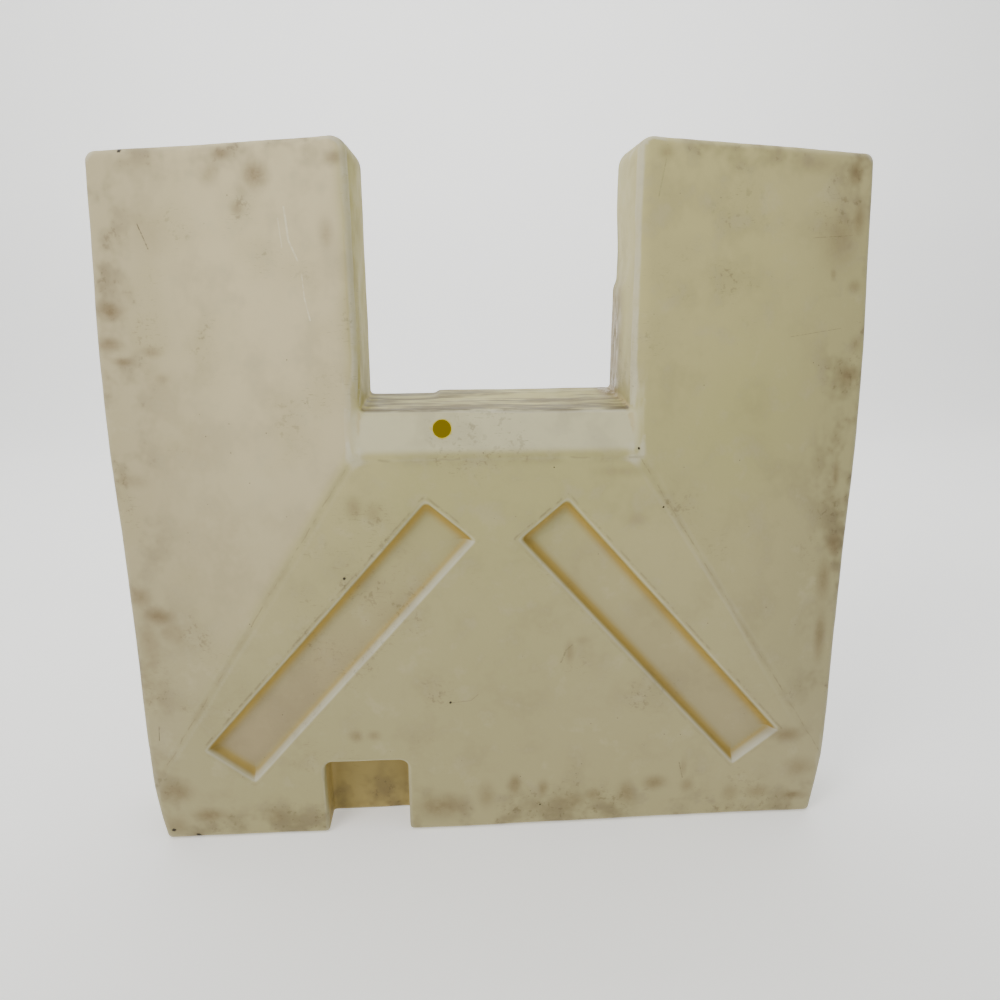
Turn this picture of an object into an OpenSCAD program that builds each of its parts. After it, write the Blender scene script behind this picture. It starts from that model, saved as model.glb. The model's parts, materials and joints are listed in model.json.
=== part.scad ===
// Water filled barrier: a hollow moulded slab with a wide notch in its top, a proud centre panel between
// two folded-back wings, and a drain plug in a pocket at its foot. Millimetres, X across, Y back, Z up.

/* [Slab] */
// Depth from the proudest line of the front to the flat back
slab_depth = 190; // [170:5:240]
// Half the width at the widest height
half_width = 609; // [580:1:640]
// Height at which the slab is widest
widest_z = 850; // [700:10:1000]
// Radius of the gentle curve of each side edge
side_radius = 10900; // [9000:100:20000]
// Height of the legs beside the notch
height = 1140; // [1100:5:1200]
// How far the top of a leg falls from the notch to its outer corner
top_fall = 12; // [0:1:20]
// Thickness of the moulded wall
wall = 7; // [5:0.5:9]

/* [Front faces] */
// Half the width of the centre panel's top line
crown_half = 223; // [215:1:235]
// Height of the centre panel's top line, the proudest part of the front
crown_z = 678; // [650:1:700]
// Angle that each wing folds back about the vertical
wing_fold = 12.6; // [8:0.1:14]
// Angle that each wing leans back towards the top
wing_lean = 5.6; // [3:0.1:7]
// Angle that the centre panel leans in towards the foot
panel_lean = 2.5; // [0:0.1:4]

/* [Notch] */
// Half the width of the notch
notch_half = 203; // [190:1:210]
// Height of the notch floor
notch_floor = 758; // [740:1:780]
// Depth of the front frame's inner edge behind the proudest line
frame_depth = 18; // [14:1:24]
// Lean of the band under the notch
band_lean = 15.5; // [10:0.5:20]

/* [Diagonal channels] */
// Length of a channel at its lip
channel_length = 580; // [500:5:620]
// Width of a channel at its lip
channel_width = 100; // [80:1:120]
// Depth of a channel
channel_depth = 16; // [8:1:20]
// Distance that the sides slope in by
channel_slope = 7; // [5:1:16]
// Steepness of a channel
channel_angle = 48.7; // [40:0.1:55]
// Sideways place of a channel's middle
channel_x = 264.2; // [250:0.1:290]
// Height of a channel's middle
channel_z = 366; // [340:1:380]

/* [Ports and pocket] */
// Radius of the open fill hole
fill_radius = 13.8; // [10:0.1:18]
// Sideways place of the fill hole
fill_x = -82; // [-120:1:0]
// Height of the fill hole
fill_z = 729; // [715:1:740]
// Left end of the pocket at the foot
pocket_left = -299; // [-320:1:-280]
// Right end of the pocket
pocket_right = -156; // [-175:1:-140]
// Height of the pocket
pocket_top = 147; // [120:1:160]
// Depth of the pocket from the panel
pocket_depth = 62; // [50:1:75]

/* [Drain] */
// Height of the drain's axis
drain_z = 42; // [38:1:50]
// Thread length of the plug
stem_length = 20.5; // [16:0.5:22]
// Radius of the plug's thread, a G 3/4 thread drawn plain
stem_radius = 12; // [10:0.5:12]
// Radial gap between plug and insert
thread_gap = 0.06; // [0.02:0.01:0.09]
// Thickness of the rubber washer
washer_thick = 2.5; // [2:0.5:3]

/* [Hidden] */
$fn = 64;
big = 3000;
eps = 1;
front_y = -slab_depth / 2;
back_y = slab_depth / 2;
throat_y = front_y + frame_depth;
throat_z = notch_floor - 1;
top_corner_r = 13;
notch_corner_r = 30;
floor_corner_r = 10;
foot_corner_r = 10;
pocket_corner_r = 14;

// Depth that the panel gains per unit of height below its top line
panel_z = tan(panel_lean);
pocket_back = front_y + crown_z * panel_z + pocket_depth;

// The frame beside the notch is two flat faces that share a line from the throat's corner to the leg's top
bevel_turn = -29.7;
bevel_lean = -4.2;
cheek_turn = -80;
cheek_lean = -1.9;

// Drain seat: a round recess in the pocket's right wall, then the insert
drain_y = pocket_back - pocket_depth / 2 + 2;
recess_radius = 27;
recess_depth = 14;
seat_x = pocket_right + recess_depth;
insert_radius = 19;
insert_length = 28;
flange_radius = 21;
flange_thick = 5;

// x of the side edge at height z, moved in by t
function side_x(z, t) = half_width - t - (z - widest_z) * (z - widest_z) / (2 * side_radius);

// Points of an arc about [x, z] with radius r, from angle a to angle b
function arc(x, z, r, a, b, n) = [for (i = [0:n]) [x + r * cos(a + (b - a) * i / n), z + r * sin(a + (b - a) * i / n)]];

// Right half of the front outline, moved in by t, from the foot round to the notch floor
function half_outline(t) =
    let (
        foot = max(foot_corner_r - t, 2),
        top = max(top_corner_r - t, 3),
        outer_top = height - top_fall - t,
        inner = notch_corner_r - t,
        floor_r = floor_corner_r + t,
        low = t + foot,
        high = outer_top - top
    )
    concat(
        arc(side_x(low, t) - foot, low, foot, -90, 0, 4),
        [for (i = [1:11]) let (z = low + (high - low) * i / 12) [side_x(z, t), z]],
        arc(side_x(high, t) - top, high, top, 0, 90, 4),
        arc(notch_half + t + inner, height - t - inner, inner, 90, 180, 6),
        arc(notch_half + t - floor_r, notch_floor - t + floor_r, floor_r, 0, -90, 4)
    );

function mirrored(points) = [for (i = [len(points) - 1:-1:0]) [-points[i][0], points[i][1]]];

function outline(t) = concat(half_outline(t), mirrored(half_outline(t)));

// Stands a front view outline up, from depth y towards the front
module upright(y, length) {
    translate([0, y, 0])
        rotate([90, 0, 0])
            linear_extrude(height = length)
                children();
}

// Everything in front of a plane through p, with the plane moved back by t
module front_of(p, turn, lean, t) {
    translate(p)
        rotate([lean, 0, turn])
            translate([-big / 2, t - big, -big / 2])
                cube(big);
}

// Both faces of the frame on one side of the notch
module frame_side(side, t) {
    corner = [notch_half, throat_y, throat_z];
    mirror([side < 0 ? 1 : 0, 0, 0]) {
        front_of(corner, bevel_turn, bevel_lean, t);
        front_of(corner, cheek_turn, cheek_lean, t);
    }
}

// The funnel-shaped frame round the front of the notch
module notch_frame(t) {
    intersection() {
        front_of([0, throat_y, throat_z], 0, -band_lean, t);
        frame_side(1, t);
        frame_side(-1, t);
    }
}

// The slab with its folded front, all faces moved in by t
module slab(t) {
    difference() {
        upright(back_y - t, slab_depth + 20)
            polygon(outline(t));
        front_of([0, front_y, crown_z], 0, panel_lean, t);
        front_of([crown_half, front_y, crown_z], wing_fold, -wing_lean, t);
        front_of([-crown_half, front_y, crown_z], -wing_fold, -wing_lean, t);
        notch_frame(t);
    }
}

// Section of a channel across a lip of the given size
module channel_section(size, grow) {
    half = size / 2 + grow;
    bottom = half - channel_slope;
    rise = channel_depth + grow;
    polygon([
        [-half - channel_slope, -channel_depth],
        [-half, 0],
        [-bottom, rise],
        [bottom, rise],
        [half, 0],
        [half + channel_slope, -channel_depth]
    ]);
}

// One channel, lying in XZ with its depth along +Y, grown by grow all round
module channel(grow) {
    rotate([-90, 0, 0])
        rotate([0, 0, channel_angle])
            intersection() {
                rotate([90, 0, 90])
                    linear_extrude(height = channel_length + 80, center = true)
                        channel_section(channel_width, grow);
                rotate([90, 0, 0])
                    linear_extrude(height = channel_width + 80, center = true)
                        channel_section(channel_length, grow);
            }
}

// The pair of front channels and the pair behind them
module channels(grow) {
    panel_y = front_y + panel_z * (crown_z - channel_z);
    for (side = [0, 1])
        mirror([side, 0, 0]) {
            translate([channel_x, panel_y, channel_z])
                rotate([panel_lean, 0, 0])
                    channel(grow);
            translate([channel_x, back_y, channel_z])
                mirror([0, 1, 0])
                    channel(grow);
        }
}

// The pocket at the foot, grown by grow
module pocket(grow) {
    r = pocket_corner_r + grow;
    left = pocket_left - grow;
    right = pocket_right + grow;
    top = pocket_top + grow;
    upright(pocket_back + grow, slab_depth)
        polygon(concat(
            [[left, -eps - grow], [right, -eps - grow]],
            arc(right - r, top - r, r, 0, 90, 6),
            arc(left + r, top - r, r, 90, 180, 6)
        ));
}

// Lies along +X from the given x on the drain's axis
module on_drain(x) {
    translate([x, drain_y, drain_z])
        rotate([0, 90, 0])
            children();
}

// Outside of the moulded-in insert, with two grooves that the plastic fills
module insert_body() {
    on_drain(seat_x)
        rotate_extrude()
            polygon([
                [0, 0],
                [insert_radius, 0],
                [insert_radius, 7],
                [insert_radius - 2, 8],
                [insert_radius - 2, 12],
                [insert_radius, 13],
                [insert_radius, 16],
                [insert_radius - 2, 17],
                [insert_radius - 2, 21],
                [insert_radius, 22],
                [insert_radius, insert_length],
                [0, insert_length]
            ]);
}

// Plastic round the drain recess and the insert, inside the tank
module drain_boss() {
    on_drain(pocket_right)
        cylinder(r = recess_radius + wall, h = recess_depth + wall);
    on_drain(seat_x)
        cylinder(r = insert_radius + wall, h = insert_length);
}

module tank() {
    difference() {
        slab(wall);
        channels(wall);
        pocket(wall);
        drain_boss();
    }
}

module fill_hole() {
    translate([fill_x, throat_y + (fill_z - throat_z) * tan(band_lean), fill_z])
        rotate([90 - band_lean, 0, 0])
            cylinder(r = fill_radius, h = 40, center = true);
}

module barrier_shell() {
    color("#c9c4a6")
        difference() {
            slab(0);
            channels(0);
            pocket(0);
            on_drain(pocket_right - eps)
                cylinder(r = recess_radius, h = recess_depth + eps);
            insert_body();
            tank();
            fill_hole();
        }
}

module drain_insert() {
    color("#b08d45")
        difference() {
            insert_body();
            on_drain(seat_x - eps)
                cylinder(r = stem_radius + thread_gap, h = insert_length + 2 * eps);
        }
}

module drain_washer() {
    color("#2b2b2b")
        on_drain(seat_x - washer_thick)
            difference() {
                cylinder(r = flange_radius - 0.5, h = washer_thick);
                translate([0, 0, -eps])
                    cylinder(r = stem_radius + 0.6, h = washer_thick + 2 * eps);
            }
}

// Plug with a round flange, a bar to turn it by, and a hollow threaded stem
module drain_plug() {
    face_x = seat_x - washer_thick;
    bar_height = recess_depth - washer_thick - flange_thick - 0.5;
    color("#33383b") {
        difference() {
            union() {
                on_drain(face_x - flange_thick)
                    cylinder(r = flange_radius, h = flange_thick);
                on_drain(face_x - eps)
                    cylinder(r = stem_radius, h = stem_length + eps);
            }
            on_drain(face_x + 4)
                cylinder(r = stem_radius - 4, h = stem_length);
        }
        on_drain(face_x - flange_thick - bar_height)
            intersection() {
                cylinder(r = flange_radius - 2, h = bar_height + eps);
                translate([-flange_radius, -5, 0])
                    cube([2 * flange_radius, 10, bar_height + eps]);
            }
    }
}

barrier_shell();
drain_insert();
drain_washer();
drain_plug();
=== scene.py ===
"""The looks of the water filled barrier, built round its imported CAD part.

Metres, X across, Y from the front to the back, Z up. The moulded shell is rebuilt here as one soft-edged
skin from a distance field: positive outside the plastic, negative inside it.
"""

import json
import math

import bpy
import numpy as np
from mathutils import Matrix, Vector

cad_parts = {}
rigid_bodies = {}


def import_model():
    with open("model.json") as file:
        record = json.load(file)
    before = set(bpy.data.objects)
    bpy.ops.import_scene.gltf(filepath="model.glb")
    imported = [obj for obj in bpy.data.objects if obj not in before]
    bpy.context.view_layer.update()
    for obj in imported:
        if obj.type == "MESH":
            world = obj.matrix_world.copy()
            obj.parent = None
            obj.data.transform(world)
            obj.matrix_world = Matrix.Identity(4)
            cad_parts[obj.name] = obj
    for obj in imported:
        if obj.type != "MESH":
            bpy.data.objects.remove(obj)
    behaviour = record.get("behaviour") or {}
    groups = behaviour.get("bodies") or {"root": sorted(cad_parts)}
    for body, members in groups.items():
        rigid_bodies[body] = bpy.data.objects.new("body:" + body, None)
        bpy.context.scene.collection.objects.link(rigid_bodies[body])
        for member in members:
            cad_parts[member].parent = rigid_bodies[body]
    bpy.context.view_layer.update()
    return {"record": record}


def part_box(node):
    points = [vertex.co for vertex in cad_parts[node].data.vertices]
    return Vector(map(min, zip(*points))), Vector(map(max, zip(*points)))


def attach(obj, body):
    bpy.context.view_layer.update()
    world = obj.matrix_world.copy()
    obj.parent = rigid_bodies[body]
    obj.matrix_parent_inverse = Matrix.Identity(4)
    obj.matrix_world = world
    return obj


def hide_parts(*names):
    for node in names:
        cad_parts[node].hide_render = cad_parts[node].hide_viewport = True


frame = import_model()

# ---------------------------------------------------------------- sizes

shell_low, shell_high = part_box("barrier_shell")
insert_low, insert_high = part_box("drain_insert")
mounts = {m["name"]: m for m in frame["record"]["mounts"]}
fill_at = Vector(mounts["fill_port"]["pos_m"])
fill_out = Vector(mounts["fill_port"]["axis"])
fill_radius = mounts["fill_port"]["dims"]["r_mm"] / 1000

half_width = shell_high.x
height = shell_high.z
back = shell_high.y
front = back - 0.19  # the centre panel's top line
wall = 0.007

crown_half = 0.223  # half the width of the centre panel's top line
crown_z = 0.678  # its height
wing_fold = math.radians(12.6)
wing_lean = math.radians(5.6)
panel_lean = math.radians(2.5)
panel_swell = 0.0055  # how far the panel bellies out low down
band_lean = math.radians(15.5)
bevel_turn, bevel_lean = math.radians(-29.7), math.radians(4.2)  # the frame's face beside the notch
cheek_turn, cheek_lean = math.radians(-80), math.radians(1.9)  # the steeper face at its inner edge

notch_half = 0.202
notch_floor = 0.757
throat_y = front + 0.018  # the notch's front edge
top_fall = 0.012  # from the inner to the outer corners of the legs
edge_half = crown_half - 0.012  # the wing's inner edge at the top of the leg
widest_z = 0.85
side_radius = 10.9

channel_middle = (0.2642, 0.366)
channel_size = (0.580, 0.100, 0.016)  # length, width, depth
channel_angle = math.radians(48.7)
channel_slope = 0.007  # how far a wall leans out from the floor up to the lip

pocket_x = (-0.299, -0.156)
pocket_top = 0.147
pocket_back = front + crown_z * math.tan(panel_lean) + 0.062

drain_axis = ((insert_low.y + insert_high.y) / 2, (insert_low.z + insert_high.z) / 2)
drain_seat = insert_low.x
recess_radius = 0.027
insert_radius = 0.0189

grid_step = 0.005
tank_step = 0.012


# ---------------------------------------------------------------- the shell's distance field


def round_max(a, b, r):
    """Both sides kept in, with their shared edge rounded to about radius r."""
    return np.minimum(-r, np.maximum(a, b)) + np.hypot(np.maximum(r + a, 0), np.maximum(r + b, 0))


def round_min(a, b, r):
    """Either side kept in, with the corner between them rounded to about radius r."""
    return -round_max(-a, -b, r)


def ease(value, low, high):
    """0 below low, 1 above high, and smooth between."""
    t = np.clip((value - low) / (high - low), 0, 1)
    return t * t * (3 - 2 * t)


def facing_gap(y, y0, turn, lean, across, up):
    """Distance in front of a face through depth y0, turned and leaning back."""
    slope_x = math.tan(turn)
    slope_z = math.tan(lean) / math.cos(turn)
    level = y0 + slope_x * across + slope_z * up
    return (level - y) / math.sqrt(1 + slope_x**2 + slope_z**2)


def front_faces(x, y, z):
    """The centre panel, the folded wings, and the frame cut round the notch."""
    ax = np.abs(x)
    belly = panel_swell * ease(0.42 - ax, 0, 0.42) * ease(0.45 - z, 0, 0.45)
    panel = facing_gap(y, front - belly, 0, -panel_lean, 0, z - crown_z)
    wing = facing_gap(y, front, wing_fold, wing_lean, ax - crown_half, z - crown_z)
    band = facing_gap(y, throat_y, 0, band_lean, 0, z - notch_floor)
    bevel = facing_gap(y, throat_y, bevel_turn, bevel_lean, ax - notch_half, z - notch_floor)
    cheek = facing_gap(y, throat_y, cheek_turn, cheek_lean, ax - notch_half, z - notch_floor)
    beside = round_max(bevel, cheek, 0.008)
    soft = 0.0045 + 0.006 * ease(z, 0.78, 0.84)
    return round_max(round_max(panel, wing, 0.0035), round_min(band, beside, 0.004), soft)


def notch_gap(x, y, z):
    """Positive in the notch. Its walls and floor widen a little to the back, and are not quite true."""
    deep = y - throat_y
    right = ease(x, -0.1, 0.1)
    swollen = 0.0045 * ease(0.945 - z, 0, 0.018) * ease(deep, 0.03, 0.1)
    hollowed = 0.004 * ease(1.06 - z, 0, 0.08)
    beside = notch_half + (0.004 + 0.024 * right) * deep - right * (swollen - hollowed) - np.abs(x)
    step = 0.0045 * ease(x, -0.096, -0.086) * ease(deep, 0.08, 0.14)
    dip = 0.0035 * right * ease(0.08 - deep, 0, 0.08)
    floor = notch_floor + 0.012 * deep + step - dip
    return round_min(beside, z - floor, 0.005)


def side_gap(x, z):
    """Distance past the bowed outer sides, of which the left is a little fuller at the foot."""
    uneven = 0.003 * ease(0.75 - z, 0, 0.5) * np.where(x > 0, 1, -1)
    wave = np.where(x > 0, 0.002, 0.004) * np.cos(9 * (z - 0.80))
    return np.abs(x) - half_width + (z - widest_z) ** 2 / (2 * side_radius) + uneven - wave


def outline_gap(x, y, z):
    """Outside the slab as seen from the front."""
    fall = top_fall * (np.abs(x) - edge_half) / (half_width - edge_half)
    gap = round_max(side_gap(x, z), z - height + fall - 0.003 * ease(x, -0.1, 0.1), 0.014)
    gap = round_max(gap, -z, 0.009)
    return round_max(gap, notch_gap(x, y, z), 0.030)


def channel_gap(x, z, depth):
    """Outside the mirrored pair of diagonal channels, at a depth in from the face they are cut in."""
    length, width, deepest = channel_size
    across, up = np.abs(x) - channel_middle[0], z - channel_middle[1]
    along = across * math.cos(channel_angle) - up * math.sin(channel_angle)
    over = across * math.sin(channel_angle) + up * math.cos(channel_angle)
    lean = channel_slope / deepest
    steep = 1 / math.hypot(1, lean)
    sides = (np.abs(over) - width / 2 + lean * depth) * steep
    ends = (np.abs(along) - length / 2 + lean * depth) * steep
    return round_max(round_max(sides, ends, 0.007), depth - deepest, 0.005)


def pocket_gap(x, y, z):
    """Outside the foot pocket."""
    middle, half = sum(pocket_x) / 2, (pocket_x[1] - pocket_x[0]) / 2
    arch = round_max(np.abs(x - middle) - half, z - pocket_top, 0.014)
    return round_max(arch, y - pocket_back, 0.006)


def waviness(x, y, z):
    """How far the cooled plastic stands off its true faces."""
    broad = 0.0011 * np.sin(7.1 * x + 2.3 * z + 0.6) * np.sin(8.3 * z - 3.1 * x + 1.9)
    middling = 0.0005 * np.sin(23 * x - 11 * z + 5 * y + 1.1) * np.sin(19 * z + 8 * x + 0.4)
    fine = 0.00022 * np.sin(57 * x + 31 * z + 9 * y) * np.sin(49 * z - 37 * x + 2.2)
    return broad + middling + fine


def shell_gap(x, y, z):
    """Distance outside the moulded body. The fill hole and the drain are cut later."""
    face = front_faces(x, y, z)
    near_notch = ease(0.26 - np.abs(x), 0, 0.03) * ease(z, 0.69, 0.72)
    gap = round_max(face, outline_gap(x, y, z), 0.012 - 0.0065 * near_notch)
    gap = round_max(gap, y - back, 0.008)
    panel = facing_gap(y, front, 0, -panel_lean, 0, z - crown_z)
    gap = round_max(gap, -channel_gap(x, z, -panel), 0.004)
    gap = round_max(gap, -channel_gap(x, z, back - y), 0.004)
    gap = round_max(gap, -pocket_gap(x, y, z), 0.006)
    return gap + waviness(x, y, z)


# ---------------------------------------------------------------- turning the field into a skin


def skin(field, step):
    """Points and four-sided faces of the surface where the field is 0, on a square grid of cells."""
    low, high = np.array(shell_low) - 3 * step, np.array(shell_high) + 3 * step
    axes = [np.arange(a, b + step, step) for a, b in zip(low, high)]
    value = field(axes[0][:, None, None], axes[1][None, :, None], axes[2][None, None, :])
    inside = value < 0
    shape = np.array(value.shape) - 1
    corners = [(i, j, k) for i in (0, 1) for j in (0, 1) for k in (0, 1)]
    count = np.zeros(shape, np.int8)
    for i, j, k in corners:
        count += inside[i : shape[0] + i, j : shape[1] + j, k : shape[2] + k]
    cells = np.argwhere((count > 0) & (count < 8))
    number = np.full(shape, -1)
    number[tuple(cells.T)] = np.arange(len(cells))

    total, crossings = np.zeros((len(cells), 3)), np.zeros((len(cells), 1))
    for a in corners:
        for axis in range(3):
            if a[axis]:
                continue
            b = list(a)
            b[axis] = 1
            first, second = value[tuple((cells + a).T)], value[tuple((cells + b).T)]
            crosses = (first < 0) != (second < 0)
            share = np.where(crosses, first / np.where(crosses, first - second, 1), 0)
            point = np.array(a) + share[:, None] * (np.array(b) - a)
            total += point * crosses[:, None]
            crossings += crosses[:, None]
    points = low + (cells + total / crossings) * step

    faces = []
    for axis in range(3):
        ahead, one, two = np.roll(np.eye(3, dtype=int), -axis, axis=0)
        start = one + two
        here = inside[tuple(slice(a, b) for a, b in zip(start, shape))]
        there = inside[tuple(slice(a, b) for a, b in zip(start + ahead, shape + ahead))]
        at = np.argwhere(here != there)
        flip = here[tuple(at.T)]
        at = at + start
        ring = np.stack([number[tuple((at - off).T)] for off in (one + two, two, 0 * one, one)], 1)
        ring[~flip] = ring[~flip][:, ::-1]
        faces.append(ring)
    return points, np.concatenate(faces)


def slope(field, points, reach=0.0004):
    """The field's gradient at each point."""
    found = np.empty_like(points)
    for axis in range(3):
        step = np.zeros(3)
        step[axis] = reach
        found[:, axis] = (field(*(points + step).T) - field(*(points - step).T)) / (2 * reach)
    return found


def settle(field, points, times=2):
    """Moves each point onto the surface."""
    for _ in range(times):
        grad = slope(field, points)
        points = points - grad * (field(*points.T) / np.maximum((grad**2).sum(1), 0.05))[:, None]
    return points


def even_out(field, points, faces, times=3):
    """Slides the points along the surface, each towards the middle of its neighbours."""
    for _ in range(times):
        total, count = np.zeros_like(points), np.zeros((len(points), 1))
        for i in range(4):
            for j in (1, 3):
                np.add.at(total, faces[:, i], points[faces[:, (i + j) % 4]])
                np.add.at(count, faces[:, i], 1)
        points = settle(field, points + 0.6 * (total / count - points), 1)
    return points


def make_mesh(name, points, faces):
    """A new object from arrays of points and of faces that all have the same number of sides."""
    mesh = bpy.data.meshes.new(name)
    mesh.vertices.add(len(points))
    mesh.vertices.foreach_set("co", points.astype(np.float32).ravel())
    mesh.loops.add(faces.size)
    mesh.loops.foreach_set("vertex_index", faces.astype(np.int32).ravel())
    mesh.polygons.add(len(faces))
    mesh.polygons.foreach_set("loop_start", np.arange(0, faces.size, faces.shape[1], dtype=np.int32))
    mesh.update(calc_edges=True)
    mesh.validate()
    thing = bpy.data.objects.new(name, mesh)
    bpy.context.scene.collection.objects.link(thing)
    return thing


def cylinder_between(name, start, end, radius, sides=96):
    """A closed cutter."""
    bpy.ops.mesh.primitive_cylinder_add(vertices=sides, radius=radius, depth=(end - start).length)
    thing = bpy.context.object
    thing.name = name
    thing.rotation_mode = "QUATERNION"
    thing.rotation_quaternion = (end - start).to_track_quat("Z", "Y")
    thing.location = (start + end) / 2
    return thing


def cut(thing, cutter):
    """Takes the cutter out of the thing and deletes the cutter."""
    change = thing.modifiers.new("cut", "BOOLEAN")
    change.operation = "DIFFERENCE"
    change.solver = "EXACT"
    change.object = cutter
    bpy.context.view_layer.objects.active = thing
    bpy.ops.object.modifier_apply(modifier=change.name)
    bpy.data.objects.remove(cutter)


def inner_gap(x, y, z):
    """Distance outside the tank, with plastic kept round the drain's recess and insert."""
    round_it = np.hypot(y - drain_axis[0], z - drain_axis[1]) - 0.030
    boss = round_max(round_it, np.abs(x - drain_seat) - 0.034, 0.004)
    return round_max(shell_gap(x, y, z) + wall, -boss, 0.004)


def shell_piece():
    """The moulded skin with its tank inside, and the fill hole and drain cut through."""
    points, faces = skin(shell_gap, grid_step)
    points = even_out(shell_gap, settle(shell_gap, points), faces)
    tank_points, tank_faces = skin(inner_gap, tank_step)
    tank_points = settle(inner_gap, tank_points)
    both = np.concatenate([points, tank_points])
    rings = np.concatenate([faces, tank_faces[:, ::-1] + len(points)])
    shell = make_mesh("barrier_skin", both, rings)

    through = fill_out * 0.03
    cut(shell, cylinder_between("fill_cutter", fill_at - through, fill_at + through, fill_radius))
    seat = Vector((drain_seat, *drain_axis))
    inward = Vector((1, 0, 0))
    cut(shell, cylinder_between("recess_cutter", seat - inward * 0.03, seat, recess_radius))
    cut(shell, cylinder_between("insert_cutter", seat - inward * 0.02, seat + inward * 0.06, insert_radius))
    return shell


# ---------------------------------------------------------------- marks left by use, as values at each point

fold_slope = (math.tan(panel_lean) + math.tan(wing_lean) / math.cos(wing_fold)) / math.tan(wing_fold)
ridge_z = notch_floor - (throat_y - front) / math.tan(band_lean)
sharpest_bend = 150  # the field's bending where an edge or a hollow counts in full

# Smudges on the front face: across, up, half width, half height, strength
smudges = [
    (-0.34, 1.09, 0.022, 0.022, 0.75),
    (-0.39, 1.12, 0.014, 0.010, 0.55),
    (-0.41, 1.09, 0.016, 0.016, 0.40),
    (-0.37, 1.045, 0.012, 0.012, 0.45),
    (-0.36, 1.07, 0.012, 0.015, 0.25),
    (-0.225, 1.11, 0.016, 0.012, 0.55),
    (-0.24, 1.01, 0.012, 0.022, 0.45),
    (-0.51, 1.01, 0.030, 0.035, 0.22),
    (-0.58, 0.90, 0.022, 0.013, 0.85),
    (-0.59, 0.85, 0.024, 0.012, 0.65),
    (-0.57, 0.825, 0.018, 0.007, 0.65),
    (-0.52, 0.84, 0.018, 0.009, 0.50),
    (-0.51, 0.80, 0.012, 0.008, 0.35),
    (-0.57, 0.64, 0.030, 0.012, 0.30),
    (-0.58, 0.45, 0.022, 0.018, 0.60),
    (-0.55, 0.42, 0.028, 0.016, 0.70),
    (-0.53, 0.39, 0.020, 0.020, 0.40),
    (-0.57, 0.37, 0.020, 0.040, 0.40),
    (-0.55, 0.10, 0.030, 0.022, 0.55),
    (-0.50, 0.05, 0.030, 0.014, 0.70),
    (-0.56, 0.03, 0.022, 0.020, 0.55),
    (-0.39, 0.04, 0.020, 0.015, 0.35),
    (-0.24, 0.20, 0.012, 0.012, 0.55),
    (-0.21, 0.20, 0.012, 0.010, 0.45),
    (-0.22, 0.61, 0.014, 0.020, 0.45),
    (-0.19, 0.60, 0.014, 0.018, 0.30),
    (-0.10, 0.05, 0.050, 0.030, 0.60),
    (-0.02, 0.07, 0.016, 0.030, 0.45),
    (0.03, 0.09, 0.012, 0.022, 0.75),
    (0.08, 0.08, 0.010, 0.018, 0.60),
    (0.13, 0.05, 0.030, 0.018, 0.35),
    (0.17, 0.06, 0.014, 0.014, 0.60),
    (0.23, 0.06, 0.018, 0.028, 0.50),
    (0.28, 0.08, 0.022, 0.016, 0.65),
    (0.34, 0.07, 0.014, 0.016, 0.50),
    (0.42, 0.05, 0.016, 0.020, 0.40),
    (0.47, 0.05, 0.022, 0.014, 0.45),
    (0.54, 0.04, 0.024, 0.010, 0.70),
    (0.54, 0.10, 0.030, 0.022, 0.45),
    (0.51, 0.17, 0.030, 0.016, 0.60),
    (0.56, 0.35, 0.012, 0.050, 0.60),
    (0.56, 0.45, 0.014, 0.040, 0.60),
    (0.575, 0.51, 0.014, 0.020, 0.75),
    (0.57, 0.63, 0.006, 0.022, 0.50),
    (0.58, 0.79, 0.018, 0.016, 0.70),
    (0.59, 0.84, 0.012, 0.014, 0.40),
    (0.54, 0.95, 0.006, 0.010, 0.50),
    (0.58, 0.93, 0.014, 0.012, 0.45),
    (0.58, 1.03, 0.014, 0.030, 0.60),
    (0.55, 1.00, 0.040, 0.050, 0.40),
    (0.57, 1.10, 0.012, 0.018, 0.70),
    (0.50, 1.11, 0.040, 0.014, 0.30),
    (0.25, 1.12, 0.014, 0.012, 0.45),
    (0.33, 0.11, 0.006, 0.020, 0.40),
    (0.12, 0.35, 0.008, 0.022, 0.50),
    (0.14, 0.37, 0.014, 0.008, 0.25),
    (0.22, 0.58, 0.020, 0.014, 0.25),
    (0.20, 0.66, 0.050, 0.010, 0.25),
]

# Scratches on the front face: from across, up, to across, up, half width, and 1 for dark or -1 for pale
scratches = [
    (-0.526, 1.025, -0.512, 0.990, 0.0011, 1.0),
    (-0.300, 1.045, -0.296, 1.000, 0.0016, -0.8),
    (-0.296, 1.000, -0.284, 0.972, 0.0015, -0.9),
    (-0.310, 1.030, -0.306, 0.990, 0.0010, -0.5),
    (-0.279, 0.952, -0.277, 0.920, 0.0010, -0.7),
    (-0.277, 0.920, -0.270, 0.888, 0.0012, -0.9),
    (-0.570, 0.200, -0.568, 0.225, 0.0009, 0.9),
    (-0.079, 0.260, -0.045, 0.263, 0.0007, 0.6),
    (-0.045, 0.263, -0.032, 0.275, 0.0007, 0.5),
    (0.106, 0.330, 0.114, 0.352, 0.0016, 0.6),
    (0.114, 0.352, 0.124, 0.362, 0.0014, 0.4),
    (0.322, 0.120, 0.330, 0.088, 0.0009, 0.9),
    (0.500, 1.004, 0.570, 1.008, 0.0006, 0.5),
    (0.470, 0.855, 0.560, 0.866, 0.0006, 0.5),
    (0.240, 1.060, 0.250, 1.110, 0.0010, 0.4),
]

# Small chips and specks: across, up, radius
chips = [
    (-0.242, 0.492, 0.0032),
    (0.218, 0.695, 0.0024),
    (0.262, 0.600, 0.0026),
    (0.075, 0.045, 0.0022),
    (-0.567, 0.022, 0.0045),
    (-0.526, 0.008, 0.0050),
    (-0.545, 1.128, 0.0045),
    (-0.079, 0.261, 0.0030),
    (0.088, 0.668, 0.0012),
]


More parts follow.
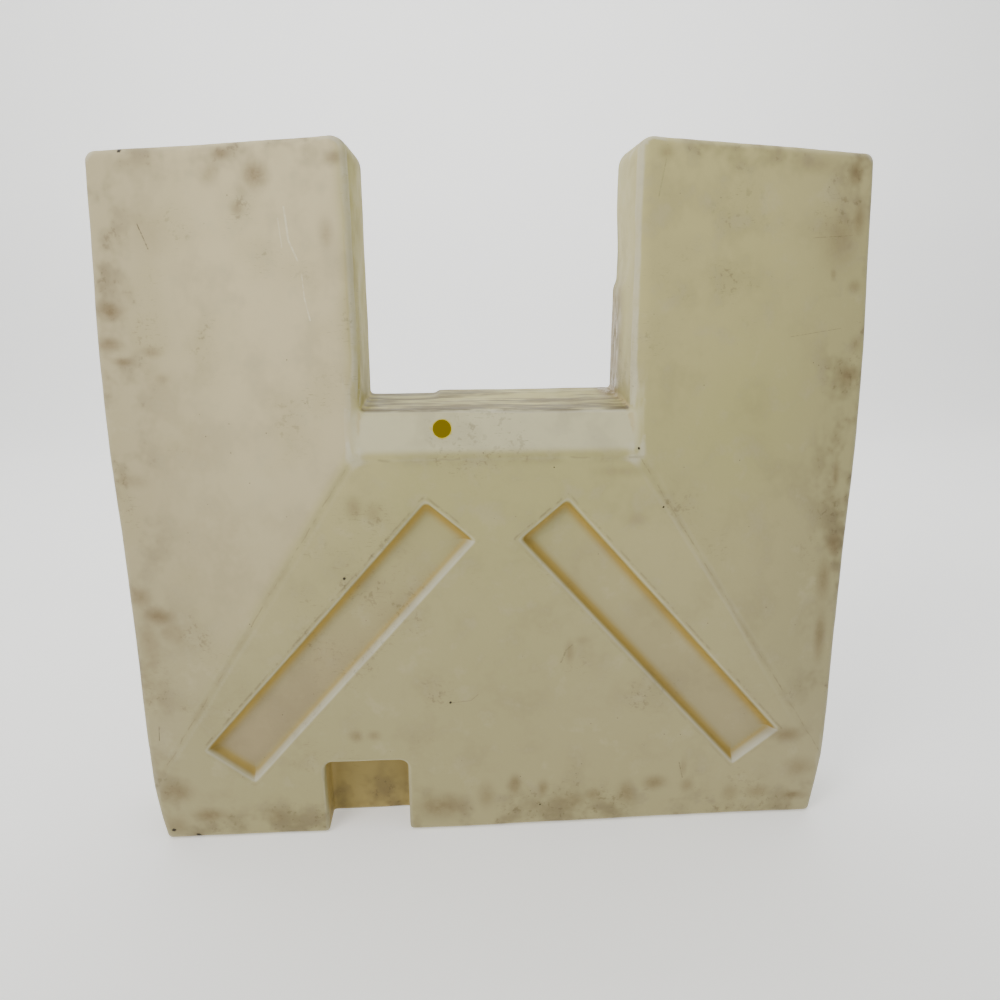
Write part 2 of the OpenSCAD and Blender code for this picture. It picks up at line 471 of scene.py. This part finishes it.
def bending(x, y, z, reach=0.0045):
    """How sharply the surface curves: positive on a rounded edge, negative in a hollow corner."""
    total = -6 * shell_gap(x, y, z)
    for step in np.eye(3) * reach:
        for side in (-1, 1):
            total += shell_gap(x + side * step[0], y + side * step[1], z + side * step[2])
    return total / reach**2


def facing_front(x, y, z):
    """1 on the front faces and 0 elsewhere."""
    return ease(front_faces(x, y, z), -0.012, -0.006)


def smudge_at(x, z):
    """The strongest of the smudges at each point."""
    total = np.zeros_like(x)
    for across, up, wide, tall, strength in smudges:
        reach = np.hypot((x - across) / wide, (z - up) / tall)
        total = np.maximum(total, strength * ease(1.45 - reach, 0, 1.45))
    return total


def near_edge(x, y, z):
    """Handling grime: along the foot, the outer sides and the tops of the legs, and thinly on the back."""
    foot = 0.7 * ease(0.13 - z, 0, 0.13)
    sides = ease(np.abs(x) - half_width + 0.11, 0, 0.10) * (0.55 + 0.3 * ease(x, -0.1, 0.1))
    tops = 0.5 * ease(z, height - 0.06, height)
    behind = 0.22 * ease(y, 0.05, 0.09)
    return np.clip(np.maximum.reduce([foot, sides, tops, behind]), 0, 1)


def distance_from_fill(x, y, z):
    """Distance from the fill hole's axis."""
    off = np.stack([x - fill_at.x, y - fill_at.y, z - fill_at.z], 1)
    axis = np.array(fill_out)
    return np.linalg.norm(off - (off @ axis)[:, None] * axis, axis=1)


def point_values(x, y, z):
    """Everything the material reads at the points, each from 0 to 1."""
    bend = bending(x, y, z)
    facing = facing_front(x, y, z)
    normal_out = slope(shell_gap, np.stack([x, y, z], 1))
    in_pocket = ease(0.002 - pocket_gap(x, y, z), 0, 0.001) * ease(y, front + 0.035, front + 0.05)
    fold = (np.abs(x) - crown_half - fold_slope * (crown_z - z)) / math.hypot(1, fold_slope)
    on_wing = ease(fold, 0, 0.02) * np.where(z < ridge_z, 1, ease(np.abs(x), 0.2, 0.23))
    behind_throat = ease(y, throat_y - 0.002, throat_y + 0.004)
    off_drain = np.hypot(y - drain_axis[0], z - drain_axis[1])
    fitting = ease(recess_radius + 0.012 - off_drain, 0, 0.002) * ease(drain_seat + 0.04 - x, 0, 0.002)
    tank = ease(-shell_gap(x, y, z), wall - 0.002, wall - 0.0005) * (1 - fitting)
    bore = ease(fill_radius + 0.0012 - distance_from_fill(x, y, z), 0, 0.0008)
    return {
        "edge": np.clip(bend / sharpest_bend, 0, 1),
        "hollow": np.clip(-bend / sharpest_bend, 0, 1),
        "pocket": in_pocket,
        "smudge": smudge_at(x, z) * facing,
        "grime": near_edge(x, y, z),
        "front": facing,
        "notch": ease(0.05 - np.abs(notch_gap(x, y, z)), 0.035, 0.048) * behind_throat,
        "tank": np.maximum(tank, bore * ease(np.abs(y - fill_at.y), 0.05, 0.049)),
        "wing": on_wing * facing,
        "up": np.clip(normal_out[:, 2], 0, 1),
    }


def store_values(thing):
    """Puts the values on the mesh, where the material finds them by name."""
    mesh = thing.data
    points = np.empty(len(mesh.vertices) * 3, np.float32)
    mesh.vertices.foreach_get("co", points)
    for name, values in point_values(*points.reshape(-1, 3).astype(float).T).items():
        layer = mesh.attributes.new(name, "FLOAT", "POINT")
        layer.data.foreach_set("value", values.astype(np.float32))


# ---------------------------------------------------------------- materials


def tone(red, green, blue):
    """A colour given as it shows on a screen, 0 to 255."""
    shown = (red, green, blue)
    return tuple(((c / 255 + 0.055) / 1.055) ** 2.4 if c > 10 else c / 3294.6 for c in shown) + (1,)


# The plastic, with painted light making the left wing pinker and the band under the notch paler
cream_deep, cream_light = tone(184, 178, 118), tone(192, 183, 128)
wing_lit_pink = tone(208, 195, 158)
foot_dull, side_dull, patch_dull = tone(162, 153, 118), tone(160, 150, 116), tone(170, 160, 116)
cloud_pale, band_lit_pale, edge_sheen_and_wear_pale = tone(204, 196, 160), tone(222, 218, 190), tone(212, 208, 188)

# Painted light and shade: yellow in hollows, channels, notch and pocket and seen through the wall, white
# painted highlights on lit channel walls and lips (the lips partly worn pale too); also the browner channel
# floor
hollow_painted_yellow, notch_shade_yellow, pocket_shade_yellow = tone(180, 150, 78), tone(158, 146, 58), tone(176, 154, 90)
channel_brown, channel_shade_ochre = tone(158, 138, 108), tone(160, 132, 54)
channel_lit_white, lip_sheen_and_wear_pale = tone(210, 209, 194), tone(214, 212, 196)
tank_yellow, tank_glow = tone(180, 162, 14), tone(200, 184, 4)

# Dirt and wear, and the notch's right wall: brown low down, with a painted sheen
film_brown, smudge_brown, grit_brown = tone(112, 98, 72), tone(120, 102, 72), tone(104, 90, 66)
streak_brown, rubbed_brown = tone(104, 92, 66), tone(92, 82, 62)
wall_brown, wall_painted_sheen = tone(104, 82, 42), tone(166, 146, 96)
scratch_pale, scratch_dark, chip_dark = tone(224, 218, 190), tone(84, 74, 54), tone(46, 38, 28)


class Graph:
    """A material being wired up. Each method adds one node and gives back its main output."""

    def __init__(self, name):
        self.material = bpy.data.materials.new(name)
        self.material.use_nodes = True
        self.tree = self.material.node_tree
        self.shader = self.tree.nodes["Principled BSDF"]

    def put(self, socket, value):
        if isinstance(value, bpy.types.NodeSocket):
            self.tree.links.new(value, socket)
        else:
            socket.default_value = value

    def node(self, kind, inputs=(), **settings):
        node = self.tree.nodes.new(kind)
        for key, value in settings.items():
            setattr(node, key, value)
        for key, value in dict(inputs).items():
            self.put(node.inputs[key], value)
        return node

    def place(self):
        return self.node("ShaderNodeTexCoord").outputs["Object"]

    def stretched(self, scale):
        return self.node("ShaderNodeMapping", {"Vector": self.place(), "Scale": scale}).outputs[0]

    def stored(self, name):
        return self.node("ShaderNodeAttribute", attribute_name=name).outputs["Fac"]

    def math(self, operation, a, b=0.0, c=0.0):
        return self.node("ShaderNodeMath", {0: a, 1: b, 2: c}, operation=operation).outputs[0]

    def times(self, *factors):
        total = factors[0]
        for factor in factors[1:]:
            total = self.math("MULTIPLY", total, factor)
        return total

    def strongest(self, marks):
        total = marks[0]
        for mark in marks[1:]:
            total = self.math("MAXIMUM", total, mark)
        return total

    def noise(self, scale, detail=3.0, rough=0.55, at=None, twist=0.0):
        inputs = {"Vector": at or self.place(), "Scale": scale, "Detail": detail, "Roughness": rough}
        return self.node("ShaderNodeTexNoise", {**inputs, "Distortion": twist}).outputs[0]

    def spots(self, scale):
        """Distance to the nearest of many scattered points."""
        inputs = {"Vector": self.place(), "Scale": scale}
        return self.node("ShaderNodeTexVoronoi", inputs).outputs["Distance"]

    def between(self, value, low, high, start=0.0, end=1.0):
        """Smoothly from start at low to end at high."""
        inputs = {"Value": value, "From Min": low, "From Max": high, "To Min": start, "To Max": end}
        return self.node("ShaderNodeMapRange", inputs, interpolation_type="SMOOTHSTEP").outputs[0]

    def mix(self, share, under, over):
        """Two colours mixed. A mix node's sockets 6 and 7, and its output 2, are the ones for colours."""
        inputs = {"Factor": share, 6: under, 7: over}
        return self.node("ShaderNodeMix", inputs, data_type="RGBA").outputs[2]

    def bump(self, height, distance, strength=1.0, normal=None):
        node = self.node("ShaderNodeBump", {"Height": height, "Distance": distance, "Strength": strength})
        if normal is not None:
            self.put(node.inputs["Normal"], normal)
        return node.outputs[0]

    def finish(self, **inputs):
        for key, value in inputs.items():
            self.put(self.shader.inputs[key.replace("_", " ")], value)
        return self.material


class Plastic(Graph):
    """The polyethylene's graph, with what its parts share: the place, four noises and the colour so far."""

    def __init__(self, name):
        super().__init__(name)
        self.x, self.y, self.z = self.node("ShaderNodeSeparateXYZ", {0: self.place()}).outputs
        self.aside = self.math("ABSOLUTE", self.x)
        self.broad = self.noise(2.3, 1.0)
        self.patchy = self.noise(7.0, 2.0, 0.6)
        self.cloudy = self.noise(26.0, 3.0, 0.6)
        self.fine = self.noise(170.0, 2.0, 0.6)
        self.colour = self.mix(self.between(self.broad, 0.35, 0.65), cream_deep, cream_light)

    def coat(self, share, over):
        """Lays a tone over the colour so far."""
        self.colour = self.mix(share, self.colour, over)


def line_mark(g, mark):
    """A scratch: its strength on the line, falling to 0 a little past its half width."""
    x0, z0, x1, z1, wide, strength = mark
    run, rise = x1 - x0, z1 - z0
    length = run * run + rise * rise
    dx, dz = g.math("SUBTRACT", g.x, x0), g.math("SUBTRACT", g.z, z0)
    along = g.math("ADD", g.times(dx, run / length), g.times(dz, rise / length))
    along = g.math("MINIMUM", g.math("MAXIMUM", along, 0.0), 1.0)
    off_x = g.math("SUBTRACT", dx, g.times(along, run))
    off_z = g.math("SUBTRACT", dz, g.times(along, rise))
    off = g.math("SQRT", g.math("ADD", g.times(off_x, off_x), g.times(off_z, off_z)))
    return g.between(off, 0.3 * wide, 1.3 * wide, abs(strength), 0.0)


def dot_mark(g, ragged, chip):
    """A chip: 1 in its middle and 0 outside it, with a ragged edge."""
    across, up, radius = chip
    dx, dz = g.math("SUBTRACT", g.x, across), g.math("SUBTRACT", g.z, up)
    off = g.math("SQRT", g.math("ADD", g.times(dx, dx), g.times(dz, dz)))
    off = g.math("ADD", off, g.times(ragged, radius * 1.6))
    return g.between(off, 0.45 * radius, radius, 1.0, 0.0)


def channel_at(g):
    """Distance inside the nearer channel's lip, and how squarely its wall faces light from above left."""
    length, width, _ = channel_size
    run, rise = math.cos(channel_angle), math.sin(channel_angle)
    side = g.math("SIGN", g.x)
    across = g.math("SUBTRACT", g.aside, channel_middle[0])
    up = g.math("SUBTRACT", g.z, channel_middle[1])
    along = g.math("SUBTRACT", g.times(across, run), g.times(up, rise))
    over = g.math("ADD", g.times(across, rise), g.times(up, run))
    sides = g.math("SUBTRACT", width / 2, g.math("ABSOLUTE", over))
    ends = g.math("SUBTRACT", length / 2, g.math("ABSOLUTE", along))
    inside = g.math("SMOOTH_MIN", sides, ends, 0.012)
    at_end = g.between(g.math("SUBTRACT", sides, ends), -0.003, 0.003)
    side_lit = g.times(g.math("SIGN", over), g.math("SUBTRACT", g.times(side, 0.5 * rise), 0.86 * run))
    end_lit = g.times(g.math("SIGN", along), g.math("ADD", g.times(side, 0.5 * run), 0.86 * rise))
    lit = g.math("ADD", side_lit, g.times(at_end, g.math("SUBTRACT", end_lit, side_lit)))
    return inside, lit


def clean_cream(g):
    """The plastic: pinker on the left wing and pale on the band as painted light, and duller to the foot and
    the sides.
    """
    # Painted light: the left wing, which faces the light, painted pinker and lighter
    left = g.times(g.stored("wing"), g.between(g.x, 0.0, -0.05), g.between(g.z, 0.05, 0.65, 0.3, 1.0))
    g.coat(g.times(left, 0.85), wing_lit_pink)
    g.coat(g.between(g.z, 1.0, 0.2, 0.0, 0.68), foot_dull)
    g.coat(g.between(g.aside, 0.36, 0.60, 0.0, 0.44), side_dull)
    g.coat(g.between(g.patchy, 0.45, 0.75, 0.0, 0.35), patch_dull)
    g.coat(g.between(g.cloudy, 0.5, 0.75, 0.0, 0.28), cloud_pale)
    # Painted light: the band under the notch, which faces up, painted paler
    above_ridge = g.between(g.z, ridge_z - 0.004, ridge_z + 0.010)
    band = g.times(above_ridge, g.between(g.z, 0.765, 0.745), g.stored("front"))
    band = g.times(band, g.between(g.aside, crown_half + 0.004, crown_half - 0.016, 0.0, 0.5))
    g.coat(band, band_lit_pale)


def held_light(g, inside, lit):
    """Painted light and shade: deep yellow in every hollow corner and on the channels' walls that face away
    from the light, white painted highlight on the walls that face it, browner on the channels' floors low
    down and to the left, and a pale line round every lip, partly wear and partly painted highlight.
    """
    # Painted light and shade: deep yellow in hollow corners
    hollow = g.times(g.between(g.stored("hollow"), 0.15, 0.9), g.between(g.patchy, 0.2, 0.6, 0.6, 1.0))
    g.coat(g.times(hollow, 0.4), hollow_painted_yellow)
    floor = g.between(inside, 0.006, 0.02)
    lower = g.times(floor, g.between(g.z, 0.5, 0.2, 0.1, 0.55), g.between(g.x, 0.05, -0.05, 0.5, 1.0))
    g.coat(lower, channel_brown)
    # Painted shade: ochre on the channel walls that face away from the light
    turned_away = g.between(lit, 0.9, 0.0, 0.15, 0.85)
    ochre = g.times(g.between(inside, 0.0005, 0.004), g.between(inside, 0.023, 0.006), turned_away)
    g.coat(ochre, channel_shade_ochre)
    reach = g.math("DIVIDE", inside, g.between(lit, 0.0, 1.0, 0.45, 1.0))
    # Painted highlight: white on the channel walls that face the light
    turned_to = g.between(lit, -0.1, 0.9, 0.0, 0.55)
    white = g.times(g.between(reach, -0.004, 0.0005), g.between(reach, 0.0085, 0.002), turned_to)
    g.coat(white, channel_lit_white)
    # Pale line round every lip: partly wear, partly painted highlight
    lip = g.times(g.between(inside, -0.004, -0.0015), g.between(inside, 0.001, -0.0005), 0.22)
    g.coat(lip, lip_sheen_and_wear_pale)


def corners_and_edges(g, inside):
    """Painted shade, deep yellow, on the notch's left wall and in the pocket, and edges whitened partly by
    wear and partly as a painted highlight, whose share it gives back.
    """
    # Painted shade: deep yellow on the notch's left wall, which faces away from the light, and in the pocket
    g.coat(g.times(g.stored("notch"), g.between(g.x, -0.18, -0.2), 0.8), notch_shade_yellow)
    g.coat(g.times(g.stored("pocket"), 0.8), pocket_shade_yellow)
    # Edges whitened, partly as wear and partly as a painted highlight
    pale = g.times(g.between(g.stored("edge"), 0.42, 0.95), g.between(g.cloudy, 0.3, 0.55, 0.55, 1.0))
    above_foot = g.between(g.z, 0.15, 0.19, 0.3, 1.0)
    pale = g.times(pale, above_foot, g.between(inside, -0.02, -0.01, 1.0, 0.0))
    g.coat(g.times(pale, 0.55), edge_sheen_and_wear_pale)
    return pale


def fold_marks(g, blot, wander, gaps):
    """Dirt along the folds between the panel and the wings: a broken line in a soft stain."""
    off = g.math("SUBTRACT", g.aside, crown_half + fold_slope * crown_z)
    off = g.times(g.math("ADD", off, g.times(g.z, fold_slope)), 1 / math.hypot(1, fold_slope))
    off = g.math("ABSOLUTE", g.math("ADD", off, wander))
    below = g.between(g.z, crown_z + 0.004, crown_z - 0.004)
    line = g.times(g.between(off, 0.0003, 0.0018, 0.42, 0.0), gaps, below)
    stain = g.times(g.between(off, 0.0, 0.011, 0.26, 0.0), g.between(blot, 0.4, 0.6), below)
    return [line, stain]


def ridge_marks(g, blot, wander, gaps):
    """Dirt along the ridge between the panel and the band under the notch."""
    between_legs = g.times(g.between(g.aside, crown_half + 0.01, crown_half - 0.01), g.stored("front"))
    off = g.math("SUBTRACT", g.z, ridge_z - 0.010)
    off = g.math("ABSOLUTE", g.math("ADD", off, g.times(wander, 1.5)))
    line = g.times(g.between(off, 0.0004, 0.003, 0.32, 0.0), gaps, between_legs)
    stain = g.times(g.between(off, 0.0, 0.018, 0.24, 0.0), g.between(blot, 0.38, 0.6), between_legs)
    return [line, stain]


def lip_mark(g, wander, gaps, inside, lit):
    """Dirt along the channels' lips, with painted shade making it darker where the wall faces away from the
    light.
    """
    off = g.math("ABSOLUTE", g.math("ADD", inside, g.math("ADD", g.times(wander, 0.5), 0.0065)))
    return g.times(g.between(off, 0.0003, 0.0030, 0.5, 0.0), g.between(lit, 0.4, -0.6, 0.2, 1.0), gaps)


def soiling(g, inside, lit):
    """Lays the dirt on: the film, the smudges and the grit. Gives back the smudges' share."""
    blot = g.noise(13.0, 3.0, 0.65)
    broken = g.noise(48.0, 2.0, 0.7)
    wander = g.times(g.math("SUBTRACT", g.cloudy, 0.5), 0.007)
    gaps = g.times(g.between(broken, 0.38, 0.60), g.stored("front"))
    film = g.times(g.between(blot, 0.45, 0.70), g.math("ADD", g.times(g.stored("grime"), 0.75), 0.18))
    marks = [film] + fold_marks(g, blot, wander, gaps) + ridge_marks(g, blot, wander, gaps)
    soil = g.strongest(marks + [lip_mark(g, wander, gaps, inside, lit)])
    g.coat(soil, film_brown)

    mottle = g.between(g.math("ADD", g.times(g.cloudy, 0.6), g.times(g.fine, 0.4)), 0.36, 0.58, 0.78, 1.0)
    worn = g.times(g.stored("smudge"), mottle, 1.1)
    g.coat(g.math("MINIMUM", worn, 0.85), smudge_brown)

    # Grit clings to the film of dirt, and here and there to clean plastic
    clings = g.math("ADD", soil, g.between(g.patchy, 0.5, 0.7, 0.0, 0.35))
    grit = g.between(g.noise(95.0, 2.0, 0.7), 0.56, 0.68)
    g.coat(g.times(grit, g.between(clings, 0.1, 0.5), 0.4), grit_brown)
    return worn


def notch_wear(g):
    """The notch's floor rubbed brown in long streaks, and its right wall brown low down with lighter streaks
    of painted sheen. Gives back where the wall is shiny.
    """
    notch = g.stored("notch")
    streak = g.noise(1.0, 3.0, 0.65, at=g.stretched((9.0, 60.0, 60.0)))
    floor = g.times(notch, g.between(g.stored("up"), 0.3, 0.8))
    g.coat(g.times(floor, g.between(streak, 0.40, 0.60), 0.8), streak_brown)
    front_lip = g.times(floor, g.between(g.y, -0.045, -0.07), g.between(streak, 0.35, 0.55), 0.6)
    g.coat(front_lip, rubbed_brown)
    ripple = g.noise(1.0, 2.0, 0.6, at=g.stretched((60.0, 55.0, 12.0)), twist=1.5)
    low = g.between(g.z, 0.97, 0.88)
    right_wall = g.times(notch, g.between(g.x, 0.17, 0.19), g.between(g.y, -0.02, 0.05), low)
    shiny = g.times(right_wall, g.between(ripple, 0.44, 0.52))
    g.coat(g.times(right_wall, 0.8), wall_brown)
    # Painted sheen: lighter streaks on the right wall where it is shiny
    g.coat(g.times(shiny, 0.6), wall_painted_sheen)
    return shiny


def knocks(g):
    """Pale and dark scratches, scuffs, specks and chips."""
    front_side = g.stored("front")
    ragged = g.times(g.between(g.fine, 0.36, 0.56, 0.3, 1.0), front_side)
    dark = g.times(g.strongest([line_mark(g, mark) for mark in scratches if mark[5] > 0]), ragged)
    light = g.times(g.strongest([line_mark(g, mark) for mark in scratches if mark[5] < 0]), ragged)
    scuff = g.noise(1.0, 2.0, 0.6, at=g.stretched((80.0, 60.0, 700.0)))
    scuffs = g.times(g.between(scuff, 0.64, 0.72), g.between(g.patchy, 0.5, 0.66), 0.4)
    specks = g.times(g.between(g.spots(50.0), 0.03, 0.065, 0.8, 0.0), g.between(g.cloudy, 0.52, 0.60))
    uneven = g.math("SUBTRACT", g.fine, 0.5)
    chipped = g.times(g.strongest([dot_mark(g, uneven, chip) for chip in chips]), front_side)
    g.coat(g.times(light, 0.8), scratch_pale)
    g.coat(g.strongest([g.times(dark, 0.8), scuffs, specks]), scratch_dark)
    g.coat(chipped, chip_dark)


def polyethylene():
    """Old unpigmented polyethylene: cream, scuffed and grimy, with edges whitened partly by wear and partly
    as painted highlight, and painted light and shade: yellow in its hollows, a pinker left wing, a paler
    band.
    """
    g = Plastic("polyethylene")
    inside, lit = channel_at(g)
    clean_cream(g)
    held_light(g, inside, lit)
    pale = corners_and_edges(g, inside)
    worn = soiling(g, inside, lit)
    shiny = notch_wear(g)
    knocks(g)

    # The far side of the wall, lit through the plastic
    tank = g.stored("tank")
    g.coat(tank, tank_yellow)

    rough = g.between(g.cloudy, 0.3, 0.7, 0.46, 0.62)
    rough = g.math("ADD", rough, g.times(worn, 0.16))
    rough = g.math("SUBTRACT", rough, g.times(shiny, 0.24))
    rough = g.math("ADD", rough, g.times(pale, 0.06))
    waves = g.math("ADD", g.times(g.broad, 0.0015), g.times(g.noise(40.0, 1.0), 0.0006))
    relief = g.math("ADD", waves, g.times(g.fine, 0.00026))
    return g.finish(
        Base_Color=g.colour,
        Roughness=rough,
        Normal=g.bump(relief, 1.0),
        Specular_IOR_Level=0.22,
        Emission_Color=tank_glow,
        Emission_Strength=g.times(tank, 0.22),
    )


def brass():
    """Dull turned brass with fine rings and a brown bloom."""
    g = Graph("brass")
    rings = g.noise(1.0, 2.0, at=g.stretched((2600.0, 30.0, 30.0)))
    bloom = g.noise(160.0, 4.0, 0.65)
    colour = g.mix(g.between(bloom, 0.35, 0.7), tone(196, 162, 88), tone(126, 92, 48))
    rough = g.between(bloom, 0.3, 0.7, 0.28, 0.55)
    normal = g.bump(rings, 0.00012, 0.7)
    return g.finish(Base_Color=colour, Metallic=0.95, Roughness=rough, Normal=normal)


def rubber():
    """Black rubber, dusty and slightly pitted."""
    g = Graph("rubber")
    dust = g.noise(240.0, 4.0, 0.7)
    colour = g.mix(g.between(dust, 0.5, 0.75), tone(34, 33, 32), tone(92, 86, 76))
    normal = g.bump(g.noise(1500.0, 2.0), 0.00012, 0.8)
    return g.finish(Base_Color=colour, Roughness=g.between(dust, 0.3, 0.7, 0.66, 0.88), Normal=normal)


def plug_plastic():
    """Dark moulded nylon: fine spark texture, scuffed grey where a hand turns it."""
    g = Graph("plug_plastic")
    scuff = g.noise(130.0, 5.0, 0.7, twist=0.5)
    colour = g.mix(g.between(scuff, 0.52, 0.72), tone(50, 54, 57), tone(98, 98, 94))
    normal = g.bump(g.noise(2400.0, 2.0), 0.00010, 0.8)
    normal = g.bump(g.noise(220.0, 2.0), 0.0003, 0.35, normal)
    return g.finish(Base_Color=colour, Roughness=g.between(scuff, 0.3, 0.7, 0.38, 0.62), Normal=normal)


def wear(thing, material):
    """Gives the thing one material in place of all it has."""
    thing.data.materials.clear()
    thing.data.materials.append(material)


def fill_slot(name, material):
    """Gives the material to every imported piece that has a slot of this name."""
    for thing in bpy.data.objects:
        for place in thing.material_slots:
            if place.material and name in place.material.name:
                place.material = material


shell = shell_piece()
store_values(shell)
shell.data.shade_smooth()
shell.data.set_sharp_from_angle(angle=math.radians(50))
wear(shell, polyethylene())
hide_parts("barrier_shell")
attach(shell, "barrier")

fill_slot("brass", brass())
fill_slot("rubber", rubber())
fill_slot("plug_plastic", plug_plastic())

# ---------------------------------------------------------------- camera, backdrop and light


def place_camera():
    """The photo's viewpoint: in front, a little left of the middle, above the notch floor, looking down."""
    pitch, roll, turn = -16.27, 0.23, -3.51
    data = bpy.data.cameras.new("camera")
    data.sensor_width = 36
    data.lens = 27.9
    camera = bpy.data.objects.new("camera", data)
    bpy.context.scene.collection.objects.link(camera)
    camera.location = (-0.0642, -1.2379, 0.9523)
    camera.rotation_euler = (math.radians(90 + pitch), math.radians(roll), math.radians(turn))
    bpy.context.scene.camera = camera


def place_floor():
    """A pale floor, just under the part, that curves up into a pale wall behind it."""
    reach, top = 30.0, 12.0
    start, radius, sink = 3.0, 1.5, 0.0004
    turns = np.linspace(0, math.pi / 2, 24)
    curve = [(start + radius * math.sin(turn), radius - radius * math.cos(turn)) for turn in turns]
    profile = [(-reach, 0.0)] + curve + [(start + radius, top)]
    points = np.array([(side, y, z - sink) for y, z in profile for side in (-reach, reach)])
    faces = np.array([(i, i + 1, i + 3, i + 2) for i in range(0, len(points) - 2, 2)])
    floor = make_mesh("backdrop", points, faces)
    floor.data.shade_smooth()
    g = Graph("pale_backdrop")
    colour = g.mix(g.noise(3.0, 4.0), tone(246, 246, 245), tone(241, 241, 240))
    normal = g.bump(g.noise(60.0, 4.0), 0.0006, 0.3)
    glow = {"Emission_Color": tone(255, 255, 254), "Emission_Strength": 0.45}
    wear(floor, g.finish(Base_Color=colour, Roughness=0.85, Normal=normal, **glow))


def place_light(name, where, at, size, power, colour):
    """An oblong lamp that faces the point it is aimed at."""
    data = bpy.data.lights.new(name, "AREA")
    data.shape = "RECTANGLE"
    data.size, data.size_y = size
    data.energy = power
    data.color = colour
    lamp = bpy.data.objects.new(name, data)
    bpy.context.scene.collection.objects.link(lamp)
    lamp.location = where
    lamp.rotation_mode = "QUATERNION"
    lamp.rotation_quaternion = (Vector(at) - Vector(where)).to_track_quat("-Z", "Y")


def place_world():
    """Dim, even light from all round."""
    world = bpy.data.worlds.new("studio")
    world.use_nodes = True
    world.node_tree.nodes["Background"].inputs["Color"].default_value = (0.97, 1.0, 0.96, 1)
    world.node_tree.nodes["Background"].inputs["Strength"].default_value = 0.36
    bpy.context.scene.world = world


place_camera()
place_floor()
place_world()
place_light("key", (-1.6, -1.8, 3.0), (0, 0, 0.6), size=(1.1, 1.1), power=51, colour=(1.0, 0.965, 0.93))
place_light("overhead", (0.3, -0.5, 3.3), (0, 0, 0.5), size=(2.2, 1.6), power=32, colour=(1.0, 1.0, 0.99))
place_light("left", (-3.0, -1.6, 1.4), (0, 0, 0.6), size=(1.4, 2.0), power=14, colour=(1.0, 0.93, 0.90))
place_light("wall", (0, 1.2, 3.6), (0, 4.4, 1.4), size=(6.0, 1.0), power=160, colour=(1.0, 1.0, 1.0))
